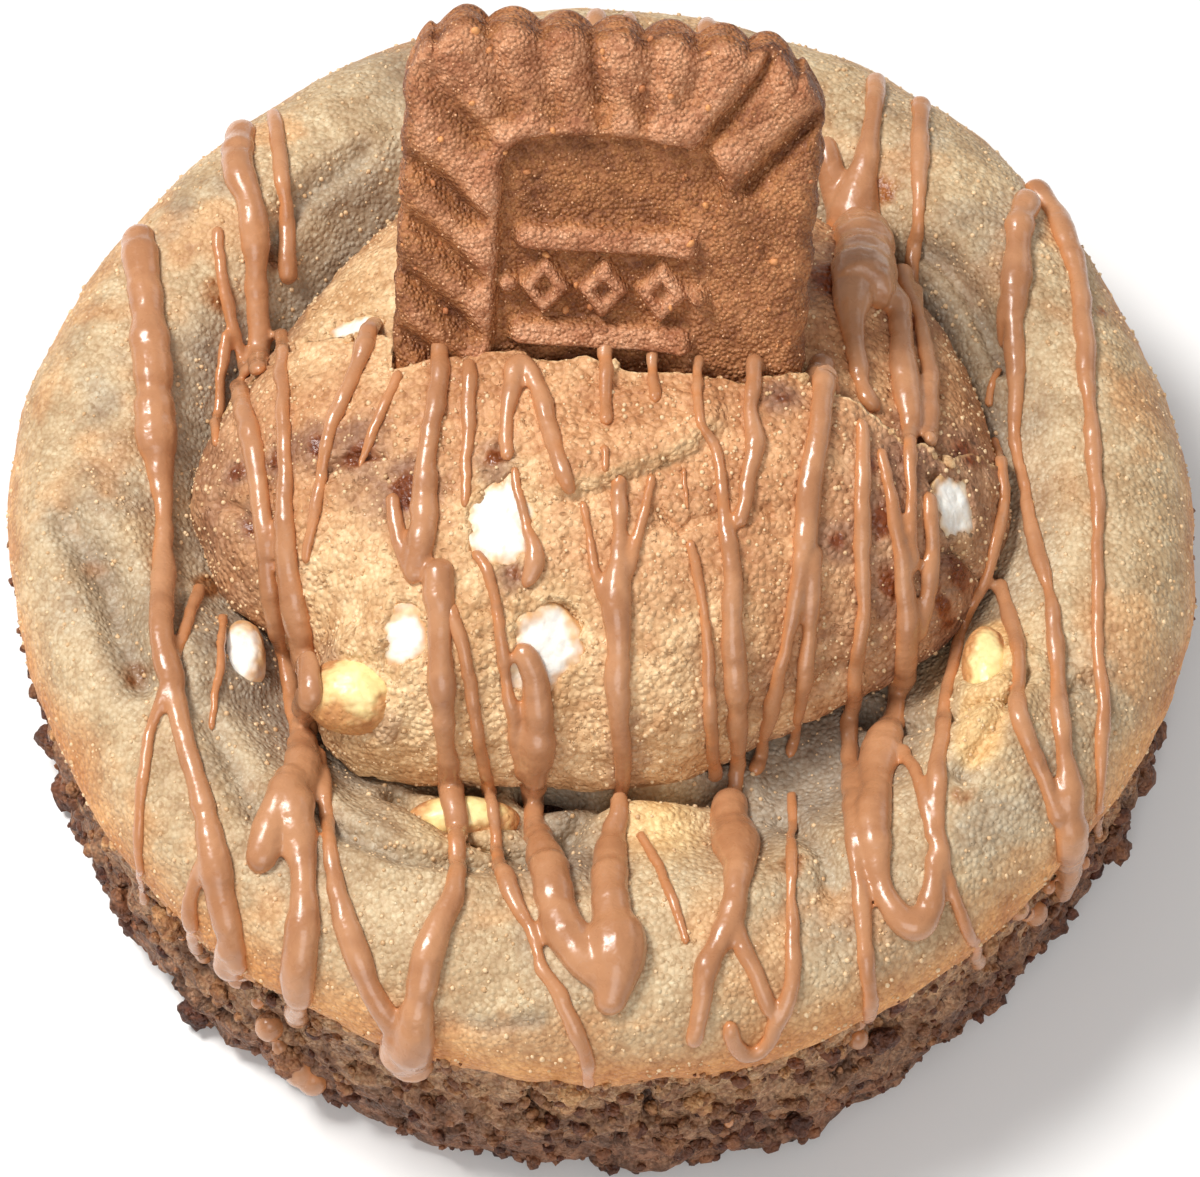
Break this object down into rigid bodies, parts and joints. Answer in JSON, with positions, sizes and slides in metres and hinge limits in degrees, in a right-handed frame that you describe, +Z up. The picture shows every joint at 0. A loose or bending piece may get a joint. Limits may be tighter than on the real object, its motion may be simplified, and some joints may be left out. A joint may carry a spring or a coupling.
{
  "type": "smore cookie",
  "caption": "Round stuffed cookie with a well, a smaller broken cookie set in it, an upright spiced biscuit, marshmallow and white chocolate pieces and caramel drizzle.",
  "frame": {"origin": "middle of the footprint, on the surface that the cookie lies on", "axes": "+Z up, -Y towards the front, which the biscuit's face looks to, +X to the right"},
  "size_m": [0.0948, 0.0965, 0.0594],
  "materials": {
    "cookie_crust": "matte",
    "top_cookie_crust": "matte",
    "spiced_biscuit": "matte",
    "marshmallow": "matte",
    "white_chocolate": "satin",
    "caramel_drizzle": "satin"
  },
  "bodies": {
    "root": {"base_cookie": "cookie_crust", "top_cookie_front": "top_cookie_crust", "top_cookie_back": "top_cookie_crust", "spiced_biscuit": "spiced_biscuit", "marshmallow_1": "marshmallow", "marshmallow_2": "marshmallow", "marshmallow_3": "marshmallow", "marshmallow_4": "marshmallow", "marshmallow_5": "marshmallow", "marshmallow_6": "marshmallow", "white_chip_1": "white_chocolate", "white_chip_2": "white_chocolate", "white_chip_3": "white_chocolate"}
  },
  "joints": []
}
